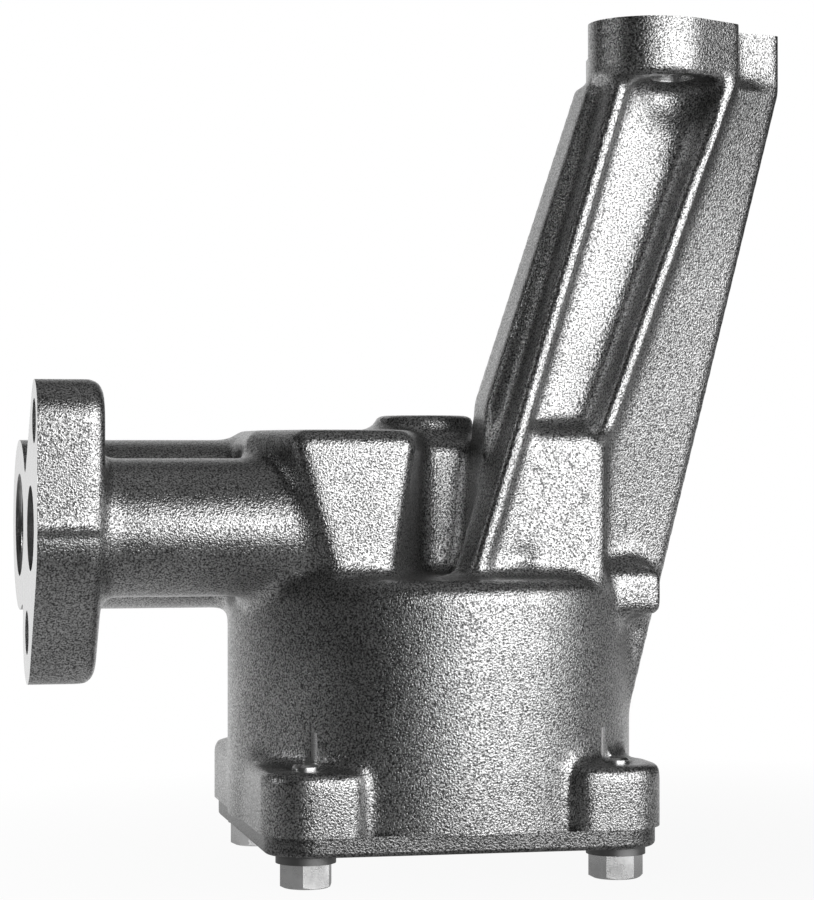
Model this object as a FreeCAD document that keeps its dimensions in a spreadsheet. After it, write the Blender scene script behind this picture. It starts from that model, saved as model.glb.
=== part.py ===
import FreeCAD, Part
import math
import os
import Sketcher

# Engine oil pump with an internal lobe rotor set, a relief valve beside its inlet and a
# leaning leg that carries the outlet up to the mounting face. Millimetres, +Z up.
#
# The modelling frame has the rotor cavity's axis as its Z axis and z = 0 on the joint face
# between housing and cover. Every sub-part is then placed so that the part's own origin lies
# on the mounting face, at the centre of the outlet port.

SIZES = [
    # housing body, a deep round cup that opens downwards
    ("body_radius", 48.5, "outer radius of the round body"),
    ("body_height", 57.5, "joint face to the top of the round body"),
    ("body_edge", 4.5, "rounding of the body's top edge"),
    ("base_inset", 1.5, "body's radius less half the side of its square base"),
    ("base_half", "=body_radius - base_inset", "half side of the square through the four ears"),
    ("ear_side", 22.5, "side of an ear, seen from below"),
    ("ear_height", 14.5, "thickness of an ear"),
    ("ear_corner", 11.5, "outer corner radius of an ear"),
    ("ear_edge", 2.0, "rounding of an ear's upper edges"),
    # cover and its fasteners
    ("cover_inset", 1.0, "step from the base's side in to the cover's"),
    ("cover_half", "=base_half - cover_inset", "half side of the square cover"),
    ("cover_corner", 11.0, "corner radius of the cover"),
    ("cover_thick", 4.6, "thickness of the cover"),
    ("cover_edge", 1.1, "rounding of the cover's lower edge"),
    ("bolt_inset", 10.5, "cover bolt's axis in from the base's side"),
    ("bolt_half", "=base_half - bolt_inset", "half pitch of the square of cover bolts"),
    ("bolt_dia", 6.35, "cover bolt's thread diameter"),
    ("bolt_grip", 22.2, "cover bolt's length under its head"),
    ("head_flats", 11.11, "cover bolt's head across its flats"),
    ("head_height", 5.6, "height of the cover bolt's head"),
    ("head_crown", 5.22, "radius of the flat end of the cover bolt's head"),
    ("washer_dia", 13.8, "lock washer's outer diameter"),
    ("washer_thick", 1.9, "lock washer's thickness"),
    ("washer_gap", 1.2, "width of the lock washer's split"),
    ("bolt_slack", 0.15, "radial gap of a cover bolt in its holes"),
    ("ear_hole_reach", 22.5, "top of the cover bolts' holes"),
    # rotor set
    ("rotor_height", 32.0, "height of both rotors"),
    ("body_wall", 10.0, "wall between the rotors and the outside of the body"),
    ("rotor_dia", "=2 * (body_radius - body_wall)", "outer rotor's outside diameter"),
    ("rotor_offset", 5.0, "distance between the axes of the two rotors"),
    ("lobe_circle", 36.0, "radius of the circle of outer lobe centres"),
    ("lobe_radius", 15.0, "radius of an outer lobe"),
    ("lobe_fillet", 3.0, "rounding between an outer lobe and its root"),
    ("tip_gap", 0.1, "clearance between the lobes"),
    ("running_gap", 0.06, "radial clearance of what turns or slides"),
    ("end_gap", 0.05, "clearance at each end of the rotors"),
    # shaft
    ("shaft_dia", 12.7, "rotor shaft's diameter"),
    ("shaft_foot", 0.6, "shaft's lower end above the cover"),
    ("shaft_recess", 0.3, "shaft's upper end below the boss"),
    ("socket_flats", 6.45, "hexagon drive socket across its flats"),
    ("socket_depth", 16.0, "depth of the drive socket"),
    ("pin_dia", 4.0, "cross pin's diameter"),
    ("pin_length", 24.0, "cross pin's length"),
    ("boss_dia", 24.0, "shaft boss's diameter"),
    ("boss_top", 95.4, "top of the shaft boss"),
    ("boss_edge", 1.5, "rounding of the boss's edge"),
    # inlet neck, its flange and the relief valve housing
    ("neck_y", -15.5, "inlet bore's axis in depth"),
    ("neck_z", 69.0, "height of the inlet bore and of the relief valve"),
    ("neck_dia", 32.2, "outside diameter of the inlet neck"),
    ("inlet_dia", 19.7, "inlet bore's diameter"),
    ("inlet_end", -20.0, "inner end of the inlet bore"),
    ("flange_face", -97.0, "plane of the inlet flange's machined face"),
    ("flange_thick", 15.5, "thickness of the inlet flange"),
    ("flange_half", 26.75, "half spacing of the inlet flange's two bolts"),
    ("flange_tilt", 23.0, "lean of the bolts' line out of the vertical"),
    ("flange_lobe", 9.5, "radius of a flange end round its bolt hole"),
    ("flange_foot", 12.2, "radius of the flange's lower end"),
    ("flange_middle", 19.4, "radius of the flange's middle round the inlet"),
    ("flange_edge", 3.2, "rounding of the flange's rear edge"),
    ("flange_hole", 10.3, "diameter of the flange's bolt holes"),
    ("relief_y", 18.0, "relief valve's axis in depth"),
    ("relief_dia", 41.0, "outside diameter of the relief valve housing"),
    ("relief_end", -20.0, "closed end of the relief valve housing"),
    ("plug_bore", 24.6, "diameter of the plug's bore in the housing"),
    ("plug_recess", 5.0, "plug's outer face below the flange's face"),
    ("plug_length", 15.0, "length of the relief plug"),
    ("plug_socket", 12.7, "side of the plug's square socket"),
    ("plug_socket_depth", 8.0, "depth of the plug's square socket"),
    ("plunger_dia", 20.0, "relief plunger's bore in the housing"),
    ("plunger_wall", 2.4, "wall of the hollow plunger"),
    ("plunger_length", 22.0, "length of the relief plunger"),
    ("plunger_seat", -34.0, "where the plunger's face seats"),
    ("seat_gap", 0.4, "plunger's face off its seat when shut"),
    ("spring_dia", 14.0, "relief spring's outside diameter"),
    ("spring_wire", 2.0, "relief spring's wire"),
    ("spring_turns", 7.0, "coils of the relief spring"),
    ("spring_seat_gap", 0.3, "gap at each end of the relief spring"),
    ("spill_x", -47.0, "spill port between relief valve and inlet"),
    ("spill_dia", 10.0, "diameter of the spill port"),
    ("pressure_dia", 8.0, "diameter of the passage to the relief valve"),
    ("pressure_x", 18.0, "where that passage rises from the outlet"),
    # inlet chamber, a pyramid that widens upwards
    ("inlet_top", 91.7, "top of the inlet chamber"),
    ("inlet_left", -46.3, "left side of the inlet chamber"),
    ("inlet_right", -3.0, "right side of the inlet chamber"),
    ("inlet_back", -10.0, "rear of the chamber's sloping sides"),
    ("inlet_front", -34.0, "front face of the inlet chamber"),
    ("inlet_front_left", -39.5, "front face's left corner, at the top"),
    ("inlet_front_right", -10.0, "front face's right corner, at the top"),
    ("inlet_foot_left", -28.0, "front face's left corner, at the foot"),
    ("inlet_foot_right", -17.0, "front face's right corner, at the foot"),
    ("chamber_edge", 4.0, "rounding of the chambers' edges"),
    # middle block that joins the shaft boss to both chambers
    ("middle_front", -12.0, "front wall between the chambers"),
    ("middle_right", 28.0, "right side of the middle block"),
    ("middle_back", 28.0, "rear wall of the middle block"),
    ("middle_left", -30.0, "left side of the middle block"),
    ("middle_top", 90.0, "top of the middle block"),
    # outlet chamber under the leg
    ("outlet_right", 35.9, "right side of the outlet chamber"),
    ("outlet_front", -34.5, "front face of the outlet chamber"),
    ("outlet_back", 12.0, "rear face of the outlet chamber"),
    ("outlet_top", 92.4, "top of the outlet chamber"),
    # leaning leg: every x is given where the leg leaves the ears and under the mounting pad
    ("leg_left_low", -19.6, "left face of the leg, low"),
    ("leg_left_high", 33.0, "left face of the leg, high"),
    ("leg_right_low", 42.9, "right edge of the web, low"),
    ("leg_right_high", 82.9, "right edge of the web, high"),
    ("leg_step_low", 8.9, "web's start beside the second rib, low"),
    ("leg_step_high", 67.1, "web's start beside the second rib, high"),
    ("leg_turn_low", 64.0, "where the leg starts to widen to the left of its first rib"),
    ("leg_turn_high", 98.0, "where the leg has its full left face"),
    ("leg_back", -13.0, "rear face of the leg"),
    ("leg_front", -28.4, "panel between the ribs"),
    ("web_front", -19.0, "front of the web's right edge"),
    ("web_thick", 8.0, "thickness of the web at its edge"),
    ("rib_front", -37.5, "crests of the ribs"),
    ("rib_crest", 3.4, "width of a rib at its crest"),
    ("rib_foot", 6.6, "width of a rib where it leaves the leg"),
    ("rib_round", 1.4, "rounding of the ribs' crests"),
    ("first_rib_low", -9.6, "middle of the first rib, low"),
    ("first_rib_high", 38.6, "middle of the first rib, high"),
    ("second_rib_low", 6.0, "middle of the second rib, low"),
    ("second_rib_high", 64.5, "middle of the second rib, high"),
    ("leg_edge", 2.6, "rounding of the leg's front left edge"),
    # mounting pad
    ("mount_height", 187.0, "mounting face above the joint face"),
    ("pad_thick", 13.5, "thickness of the mounting pad"),
    ("port_x", 56.0, "outlet port's axis"),
    ("port_y", -2.0, "outlet port's axis in depth"),
    ("port_dia", 16.0, "outlet port's diameter"),
    ("port_depth", 12.0, "depth of the outlet port's straight mouth"),
    ("passage_dia", 15.0, "diameter of the slanting passage in the leg"),
    ("port_wall", 4.5, "wall round the outlet passage"),
    ("port_boss", 15.5, "pad's radius round the outlet port"),
    ("mount_half", 32.5, "half spacing of the two mounting bolts, in depth"),
    ("mount_skew", 5.0, "sideways step from the port to a mounting bolt"),
    ("mount_hole", 10.3, "diameter of the mounting bolts' holes"),
    ("mount_spot", 18.0, "diameter of the spot face for a bolt head"),
    ("spot_depth", 9.0, "reach of the front spot face into the leg"),
    ("spot_bite", 0.4, "how far the spot face cuts up into the pad"),
    ("front_lobe_x", 47.2, "centre of the pad's front rounding"),
    ("front_lobe_y", -30.0, "centre of the pad's front rounding, in depth"),
    ("front_lobe", 15.0, "radius of the pad's front rounding"),
    ("front_turn", 32.0, "turn of the pad's flat front face to the right"),
    ("front_end", 67.2, "right end of the pad's front face"),
    ("rear_lobe", 12.5, "radius of the pad's rear end"),
    # lug at the body's top right
    ("lug_right", 50.2, "right end of the lug"),
    ("lug_front", -29.0, "front face of the lug"),
    ("lug_back", -8.0, "rear of the lug"),
    ("lug_foot", 48.2, "underside of the lug"),
    ("lug_shoulder", 58.0, "where the lug's front and end stop being upright"),
    ("lug_top", 64.5, "top of the lug's slope, against the leg"),
    ("lug_ramp_right", 37.5, "right end of the lug's slope, at its top"),
    ("lug_ramp_front", -20.0, "front of the lug's slope, at its top"),
    ("lug_edge", 2.0, "rounding of the lug's edges"),
    # cores inside the housing
    ("kidney_inner", 17.0, "inner radius of the port windows over the rotors"),
    ("kidney_outer", 30.0, "outer radius of the port windows"),
    ("kidney_sweep", 104.0, "angle that each port window spans"),
    ("kidney_depth", 8.0, "depth of the port windows"),
    ("inlet_core_x", -24.0, "core from the inlet bore down to its window"),
    ("inlet_core_y", -13.0, "core from the inlet bore, in depth"),
    ("outlet_core_x", 23.0, "core from the outlet window up"),
    ("outlet_core_y", -6.0, "core from the outlet window, in depth"),
    ("core_dia", 16.0, "diameter of both cores"),
    ("core_top", 78.0, "where the outlet core meets the leg's passage"),
]

LOBES = 4
STEPS_PER_LOBE = 28
BOLT_SPINS = (14.5, 54.7, 40, 5)
WASHER_SPIN_SHARE = 7
CORNERS = [(-1, -1), (1, -1), (1, 1), (-1, 1)]
X_AXIS = FreeCAD.Vector(1, 0, 0)
Y_AXIS = FreeCAD.Vector(0, 1, 0)
Z_AXIS = FreeCAD.Vector(0, 0, 1)

doc = FreeCAD.newDocument("oil_pump")
sheet = doc.addObject("Spreadsheet::Sheet", "Sizes")
for row, (alias, value, note) in enumerate(SIZES, start=1):
    sheet.set(f"A{row}", note)
    sheet.set(f"B{row}", str(value))
    sheet.setAlias(f"B{row}", alias)
doc.recompute()

ALIASES = sorted((alias for alias, _, _ in SIZES), key=len, reverse=True)


def bound(formula):
    """Write a formula of size names as an expression on the sheet's cells."""
    words = []
    word = ""
    for letter in formula + " ":
        if letter.isalnum() or letter == "_":
            word += letter
            continue
        words.append(f"Sizes.{word}" if word in ALIASES else word)
        words.append(letter)
        word = ""
    return "".join(words).strip()


def worth(formula):
    """The number that a formula of size names comes to."""
    return float(sheet.evalExpression(bound(str(formula))))


def solid(kind, name, turn=None, **formulas):
    """Add a Part primitive whose properties follow formulas; x, y and z place it."""
    item = doc.addObject(kind, name)
    if turn:
        item.Placement = FreeCAD.Placement(FreeCAD.Vector(), FreeCAD.Rotation(*turn))
    for key, formula in formulas.items():
        path = f"Placement.Base.{key}" if key in ("x", "y", "z") else key
        item.setExpression(path, bound(formula))
    return item


def rod(name, x="0", y="0", z="0", radius="1", length="1", along=None):
    """A cylinder that starts at a point and runs along +Z, or along another axis."""
    turn = (Z_AXIS, along) if along else None
    return solid("Part::Cylinder", name, turn, x=x, y=y, z=z, Radius=radius, Height=length)


def block(name, x, y, z):
    """A box between two formulas on each axis."""
    return solid(
        "Part::Box", name, x=x[0], y=y[0], z=z[0],
        Length=f"({x[1]}) - ({x[0]})", Width=f"({y[1]}) - ({y[0]})", Height=f"({z[1]}) - ({z[0]})",
    )


def outline(name, corners, z="0", turn=None, **place):
    """A closed sketch of straight sides whose corners follow formulas."""
    sketch = doc.addObject("Sketcher::SketchObject", name)
    spots = [FreeCAD.Vector(worth(x), worth(y), 0) for x, y in corners]
    count = len(corners)
    for i in range(count):
        sketch.addGeometry(Part.LineSegment(spots[i], spots[(i + 1) % count]))
    for i in range(count):
        sketch.addConstraint(Sketcher.Constraint("Coincident", i, 2, (i + 1) % count, 1))
    for i, corner in enumerate(corners):
        for kind, formula in zip(("DistanceX", "DistanceY"), corner):
            rule = Sketcher.Constraint(kind, -1, 1, i, 1, worth(formula))
            number = sketch.addConstraint(rule)
            sketch.setExpression(f"Constraints[{number}]", bound(formula))
    if turn:
        sketch.Placement = FreeCAD.Placement(FreeCAD.Vector(), turn)
    for key, formula in dict(place, z=z).items():
        sketch.setExpression(f"Placement.Base.{key}", bound(formula))
    return sketch


def raised(name, sketch, length):
    """Extrude a sketch along its own normal."""
    item = doc.addObject("Part::Extrusion", name)
    item.Base = sketch
    item.DirMode = "Normal"
    item.Solid = True
    item.setExpression("LengthFwd", bound(length))
    return item


def spanned(name, *sections):
    """A solid with straight sides through sketches of as many corners."""
    item = doc.addObject("Part::Loft", name)
    item.Sections = list(sections)
    item.Solid = True
    item.Ruled = True
    return item


def rounded(name, base, *choices):
    """Round the edges of a solid; each choice is a radius and a test that picks edges."""
    doc.recompute()
    edges = []
    for radius, wanted in choices:
        for number, edge in enumerate(base.Shape.Edges, start=1):
            if wanted(edge):
                edges.append((number, worth(radius), worth(radius)))
    item = doc.addObject("Part::Fillet", name)
    item.Base = base
    item.Edges = edges
    return item


def together(name, pieces):
    item = doc.addObject("Part::MultiFuse", name)
    item.Shapes = pieces
    item.Refine = False
    return item


def without(name, base, tool):
    item = doc.addObject("Part::Cut", name)
    item.Base = base
    item.Tool = tool
    item.Refine = False
    return item


def upright(edge):
    """An edge that runs mostly up and down."""
    box = edge.BoundBox
    return box.ZLength > max(box.XLength, box.YLength)


def at_height(formula):
    """A test for edges that lie in one level plane."""
    height = worth(formula)

    def wanted(edge):
        box = edge.BoundBox
        return abs(box.ZMin - height) < 0.01 and abs(box.ZMax - height) < 0.01

    return wanted


def middle(edge):
    return edge.CenterOfMass


# Housing


def body_cup():
    cup = rod("BodyRound", radius="body_radius", length="body_height")
    return rounded("BodyCup", cup, ("body_edge", at_height("body_height")))


def ear(name, side_x, side_y):
    """One corner of the base, with its outer corner and upper edges rounded."""
    near, far = "base_half - ear_side", "base_half"
    span_x = (near, far) if side_x > 0 else (f"-({far})", f"-({near})")
    span_y = (near, far) if side_y > 0 else (f"-({far})", f"-({near})")
    plain = block(name + "Block", span_x, span_y, ("0", "ear_height"))
    half = worth("base_half")
    reach = worth("base_half - ear_side")

    def outer(edge):
        spot = middle(edge)
        return upright(edge) and abs(abs(spot.x) - half) + abs(abs(spot.y) - half) < 0.01

    def end(edge):
        spot = middle(edge)
        apart = abs(abs(spot.x) - half) + abs(abs(spot.y) - half)
        return upright(edge) and abs(apart - half + reach) < 0.01

    shaped = rounded(name + "Corner", plain, ("ear_corner", outer), ("2 * ear_edge", end))
    return rounded(name, shaped, ("ear_edge", at_height("ear_height")))


def base_side():
    """The base's left side, which joins the two ears there."""
    near = "-(base_half - ear_side)"
    plain = block(
        "BaseSidePlain", ("-base_half", near),
        ("-(base_half - ear_corner - ear_edge)", "base_half - ear_corner - ear_edge"),
        ("0", "ear_height"),
    )
    left = worth("-base_half")
    level = at_height("ear_height")

    def edge_above(edge):
        return level(edge) and abs(middle(edge).x - left) < 0.01

    return rounded("BaseSide", plain, ("ear_edge", edge_above))


def leg_line(name, z):
    """The x at height z of a straight line along the leg, given at both ends of the leg."""
    share = f"(({z}) - ear_height) / (mount_height - pad_thick - ear_height)"
    return f"{name}_low + ({name}_high - {name}_low) * {share}"


def leg_body():
    """The leg: its left face, the panel, and the web that recedes to the right."""
    levels = [
        ("first_rib", "ear_height"),
        ("first_rib", "leg_turn_low"),
        ("leg_left", "leg_turn_high"),
        ("leg_left", "mount_height - pad_thick"),
    ]
    sections = []
    for number, (left, z) in enumerate(levels, start=1):
        corners = [
            (leg_line(left, z), "leg_back"),
            (leg_line(left, z), "leg_front"),
            (leg_line("leg_step", z), "leg_front"),
            (leg_line("leg_right", z), "web_front"),
            (leg_line("leg_right", z), "web_front + web_thick"),
        ]
        sections.append(outline(f"LegOutline{number}", corners, z))
    plain = spanned("LegPlain", *sections)
    knees = [(worth(z), worth(leg_line(left, z))) for left, z in levels]

    def left_face(z):
        """The x of the left face at a height."""
        for (low, x_low), (high, x_high) in zip(knees, knees[1:]):
            if z <= high:
                return x_low + (x_high - x_low) * (z - low) / (high - low)
        return knees[-1][1]

    def left_edge(edge):
        spot = middle(edge)
        at_front = abs(spot.y - worth("leg_front")) < 0.01
        return upright(edge) and at_front and abs(spot.x - left_face(spot.z)) < 0.5

    def right_edge(edge):
        spot = middle(edge)
        return upright(edge) and abs(spot.x - worth(leg_line("leg_right", str(spot.z)))) < 0.5

    return rounded("LegBody", plain, ("leg_edge", left_edge), ("web_thick / 3", right_edge))


def rib(name, which, z_low):
    """A rib with sloping flanks, from a height up to the pad's underside."""
    sections = []
    for place, z in (("Low", z_low), ("High", "mount_height - pad_thick")):
        x = leg_line(f"{which}_rib", z)
        corners = [
            (f"{x} - rib_foot / 2", "leg_front + rib_crest"),
            (f"{x} - rib_foot / 2", "leg_front"),
            (f"{x} - rib_crest / 2", "rib_front"),
            (f"{x} + rib_crest / 2", "rib_front"),
            (f"{x} + rib_foot / 2", "leg_front"),
            (f"{x} + rib_foot / 2", "leg_front + rib_crest"),
        ]
        sections.append(outline(name + "Outline" + place, corners, z))
    plain = spanned(name + "Block", *sections)
    crest = worth("rib_front")

    def tip(edge):
        return upright(edge) and abs(middle(edge).y - crest) < 0.01

    return rounded(name, plain, ("rib_round", tip))


def slanted_rod(name, radius):
    """A cylinder up the leg, from the outlet core's top to the foot of the outlet port."""
    foot = ("outlet_core_x", "outlet_core_y", "core_top")
    head = ("port_x", "port_y", "mount_height - port_depth")
    run = FreeCAD.Vector(*[worth(f"({b}) - ({a})") for a, b in zip(foot, head)])
    length = " + ".join(f"(({b}) - ({a}))^2" for a, b in zip(foot, head))
    return rod(name, *foot, radius, f"sqrt({length})", run)


def inlet_chamber():
    """A pyramid with a trapezoid front face that widens upwards."""
    sections = []
    for place, z in (("foot", "body_height - body_edge"), ("front", "inlet_top")):
        corners = [
            ("inlet_left", "relief_y"),
            ("inlet_left", "inlet_back"),
            (f"inlet_{place}_left", "inlet_front"),
            (f"inlet_{place}_right", "inlet_front"),
            ("inlet_right", "inlet_back"),
            ("inlet_right", "relief_y"),
        ]
        sections.append(outline("InletOutline_" + place, corners, z))
    plain = spanned("InletBlock", *sections)
    back = worth("relief_y")

    def side(edge):
        return upright(edge) and middle(edge).y < back - 1

    def lid(edge):
        spot = middle(edge)
        return at_height("inlet_top")(edge) and spot.y < back - 1

    return rounded("InletChamber", plain, ("chamber_edge", side), ("chamber_edge", lid))


def outlet_chamber():
    """A chamber under the panel; its left side follows the first rib."""
    sections = []
    for place, z in (("Low", "body_height - body_edge"), ("High", "outlet_top")):
        left = leg_line("first_rib", z)
        corners = [
            (left, "outlet_back"),
            (left, "outlet_front"),
            ("outlet_right", "outlet_front"),
            ("outlet_right", "outlet_back"),
        ]
        sections.append(outline("OutletOutline" + place, corners, z))
    plain = spanned("OutletBlock", *sections)
    right = worth("outlet_right")
    lid = at_height("outlet_top")

    def soft(edge):
        return lid(edge) or (upright(edge) and middle(edge).x > right - 0.01)

    return rounded("OutletChamber", plain, ("chamber_edge", soft))


def middle_block():
    plain = block(
        "MiddlePlain",
        ("middle_left", "middle_right"),
        ("middle_front", "middle_back"),
        ("body_height - body_edge", "middle_top"),
    )
    top = at_height("middle_top")
    return rounded("MiddleBlock", plain, ("chamber_edge", lambda e: upright(e) or top(e)))


def shaft_boss():
    plain = rod(
        "BossPlain", y="rotor_offset", z="body_height - body_edge",
        radius="boss_dia / 2", length="boss_top - body_height + body_edge",
    )
    return rounded("ShaftBoss", plain, ("boss_edge", at_height("boss_top")))


def flange_frame():
    """The flange's own plane: its x along +Y of the part, leaning with the bolts' line."""
    lie = FreeCAD.Rotation(Y_AXIS, FreeCAD.Vector(0, 0, 1), X_AXIS, "XYZ")
    return FreeCAD.Rotation(X_AXIS, worth("flange_tilt")).multiply(lie)


def inlet_flange():
    """Two bolt lobes joined by tangent sides to the round middle."""
    corners = []
    for end, sign in (("flange_lobe", ""), ("flange_foot", "-")):
        slope = f"((flange_middle - {end}) / flange_half)"
        across = f"sqrt(1 - {slope} * {slope})"
        lobe = (f"{end} * {across}", f"{sign}(flange_half + {end} * {slope})")
        waist = (f"flange_middle * {across}", f"{sign}(flange_middle * {slope})")
        corners.append((lobe, waist))
    (top, top_waist), (foot, foot_waist) = corners
    right_side = [top, top_waist, foot_waist, foot]
    left_side = [(f"-({x})", y) for x, y in reversed(right_side)]
    sketch = outline(
        "FlangeOutline", right_side + left_side, "neck_z", flange_frame(), x="flange_face", y="neck_y"
    )
    plate = raised("FlangePlate", sketch, "flange_thick")
    rounds = [plate]
    for name, share, radius in (
        ("Upper", 1, "flange_lobe"),
        ("Middle", 0, "flange_middle"),
        ("Lower", -1, "flange_foot"),
    ):
        rounds.append(
            rod(
                "Flange" + name, "flange_face",
                f"neck_y - {share} * flange_half * sin(flange_tilt)",
                f"neck_z + {share} * flange_half * cos(flange_tilt)",
                radius, "flange_thick", X_AXIS,
            )
        )
    whole = together("FlangeWhole", rounds)
    whole.Refine = True
    back = worth("flange_face + flange_thick")

    def rear(edge):
        box = edge.BoundBox
        return abs(box.XMin - back) < 0.01 and abs(box.XMax - back) < 0.01

    return rounded("InletFlange", whole, ("flange_edge", rear))


def inlet_neck():
    return rod(
        "InletNeck", "flange_face", "neck_y", "neck_z",
        "neck_dia / 2", "inlet_end - flange_face", X_AXIS,
    )


def relief_housing():
    plain = rod(
        "ReliefPlain", "flange_face", "relief_y", "neck_z",
        "relief_dia / 2", "relief_end - flange_face", X_AXIS,
    )
    end = worth("relief_end")
    return rounded(
        "ReliefHousing", plain, ("chamber_edge", lambda e: abs(e.BoundBox.XMin - end) < 0.01)
    )


def mounting_pad():
    """The pad's outline: a flat front face turned to the right, the web's top and the rear."""
    turn_x = "sin(front_turn)"
    turn_y = "cos(front_turn)"
    touch_x = f"front_lobe_x + front_lobe * {turn_x}"
    touch_y = f"front_lobe_y - front_lobe * {turn_y}"
    end_y = f"{touch_y} + (front_end - ({touch_x})) * {turn_x} / {turn_y}"
    corners = [
        ("front_lobe_x - front_lobe", "front_lobe_y"),
        ("front_lobe_x", "front_lobe_y"),
        (touch_x, touch_y),
        ("front_end", end_y),
        ("front_end + web_thick / 4", "web_front - web_thick / 2"),
        ("leg_right_high", "web_front"),
        ("leg_right_high", "web_front + web_thick"),
        ("port_x + port_boss", "port_y"),
        ("port_x + mount_skew + rear_lobe", "port_y + mount_half"),
        ("port_x + mount_skew - rear_lobe", "port_y + mount_half"),
        ("port_x - port_boss", "port_y"),
    ]
    sketch = outline("PadOutline", corners, "mount_height - pad_thick")
    plate = raised("PadPlate", sketch, "pad_thick")
    edges = [
        worth("front_end") * 1000 + worth(end_y),
        worth("leg_right_high") * 1000 + worth("web_front"),
    ]

    def corner(edge):
        spot = middle(edge)
        return upright(edge) and any(abs(spot.x * 1000 + spot.y - e) < 1 for e in edges)

    shaped = rounded("PadShaped", plate, ("web_thick / 4", corner))
    low = "mount_height - pad_thick"
    front = rod(
        "PadFront", "front_lobe_x", "front_lobe_y", low, "front_lobe", "pad_thick"
    )
    port = rod("PadPort", "port_x", "port_y", low, "port_boss", "pad_thick")
    rear = rod(
        "PadRear", "port_x + mount_skew", "port_y + mount_half", low, "rear_lobe", "pad_thick"
    )
    return [shaped, front, port, rear]


def side_lug():
    plain = block(
        "LugPlain", ("lug_right - body_radius / 2", "lug_right"),
        ("lug_front", "lug_back"), ("lug_foot", "lug_shoulder"),
    )
    near = "lug_right - body_radius / 2"
    slope = []
    for place, right_end, front_end, z in (
        ("Low", "lug_right", "lug_front", "lug_shoulder"),
        ("High", "lug_ramp_right", "lug_ramp_front", "lug_top"),
    ):
        corners = [
            (near, front_end),
            (right_end, front_end),
            (right_end, "lug_back"),
            (near, "lug_back"),
        ]
        slope.append(outline("LugSlope" + place, corners, z))
    whole = together("LugWhole", [plain, spanned("LugSlope", *slope)])
    whole.Refine = True
    right = worth("lug_right")
    front = worth("lug_front")

    def outer(edge):
        spot = middle(edge)
        return spot.x > right - 0.01 or (spot.y < front + 0.01 and not upright(edge))

    return rounded("SideLug", whole, ("lug_edge", outer))


def port_window(name, start):
    """A kidney shaped recess over the rotors, centred on one side of the cavity."""
    depth = "rotor_height + 2 * end_gap"
    outer = rod(name + "Outer", z=depth, radius="kidney_outer", length="kidney_depth")
    outer.setExpression("Angle", bound("kidney_sweep"))
    outer.Placement.Rotation = FreeCAD.Rotation(Z_AXIS, start - worth("kidney_sweep") / 2)
    inner = rod(
        name + "Inner", z=f"{depth} - 1", radius="kidney_inner", length="kidney_depth + 2"
    )
    return without(name, outer, inner)


def housing_cores():
    """Everything that is hollow: cavity, ports, passages, bores and bolt holes."""
    ceiling = "rotor_height + 2 * end_gap"
    cores = [
        rod("Cavity", z="-1", radius="rotor_dia / 2 + running_gap", length=f"{ceiling} + 1"),
        port_window("InletWindow", 180),
        port_window("OutletWindow", 0),
        rod(
            "ShaftBore", y="rotor_offset", z=f"{ceiling} - 1",
            radius="shaft_dia / 2 + running_gap", length=f"boss_top - ({ceiling}) + 2",
        ),
        rod(
            "InletBore", "flange_face - 1", "neck_y", "neck_z", "inlet_dia / 2",
            "inlet_end - flange_face - 3", X_AXIS,
        ),
        rod(
            "InletCore", "inlet_core_x", "inlet_core_y", f"{ceiling} + kidney_depth / 2",
            "core_dia / 2", f"neck_z - ({ceiling}) - kidney_depth / 2",
        ),
        rod(
            "OutletCore", "outlet_core_x", "outlet_core_y", f"{ceiling} + kidney_depth / 2",
            "core_dia / 2", f"core_top - ({ceiling}) - kidney_depth / 2",
        ),
        solid(
            "Part::Sphere", "OutletTurn", x="outlet_core_x", y="outlet_core_y", z="core_top",
            Radius="core_dia / 2",
        ),
        slanted_rod("OutletPassage", "passage_dia / 2"),
        rod(
            "OutletPort", "port_x", "port_y", "mount_height - port_depth",
            "port_dia / 2", "port_depth + 1",
        ),
        rod(
            "PlugBore", "flange_face - 1", "relief_y", "neck_z", "plug_bore / 2",
            "plug_recess + plug_length + 1", X_AXIS,
        ),
        rod(
            "PlungerBore", "flange_face", "relief_y", "neck_z", "plunger_dia / 2",
            "plunger_seat - flange_face", X_AXIS,
        ),
        rod(
            "PressureBore", "plunger_seat - 1", "relief_y", "neck_z", "pressure_dia / 2",
            "pressure_x - plunger_seat + 1", X_AXIS,
        ),
        rod(
            "PressureRise", "pressure_x", "relief_y", f"{ceiling} + kidney_depth / 2",
            "pressure_dia / 2", f"neck_z - ({ceiling}) - kidney_depth / 2",
        ),
        rod(
            "SpillPort", "spill_x", "neck_y", "neck_z", "spill_dia / 2",
            "relief_y - neck_y", Y_AXIS,
        ),
        rod(
            "FrontSpot", "port_x - mount_skew", "port_y - mount_half",
            "mount_height - pad_thick - spot_depth", "mount_spot / 2", "spot_depth + spot_bite",
        ),
    ]
    for number, share in enumerate((1, -1), start=1):
        cores.append(
            rod(
                f"FlangeHole{number}", "flange_face - 1",
                f"neck_y - {share} * flange_half * sin(flange_tilt)",
                f"neck_z + {share} * flange_half * cos(flange_tilt)",
                "flange_hole / 2", "flange_thick + 2", X_AXIS,
            )
        )
        cores.append(
            rod(
                f"MountHole{number}", f"port_x + {share} * mount_skew",
                f"port_y + {share} * mount_half",
                "mount_height - pad_thick - 1", "mount_hole / 2", "pad_thick + 2",
            )
        )
    for number, (side_x, side_y) in enumerate(CORNERS, start=1):
        cores.append(
            rod(
                f"EarHole{number}", f"{side_x} * bolt_half", f"{side_y} * bolt_half", "-1",
                "bolt_dia / 2 + bolt_slack", "ear_hole_reach + 1",
            )
        )
    return cores


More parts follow.
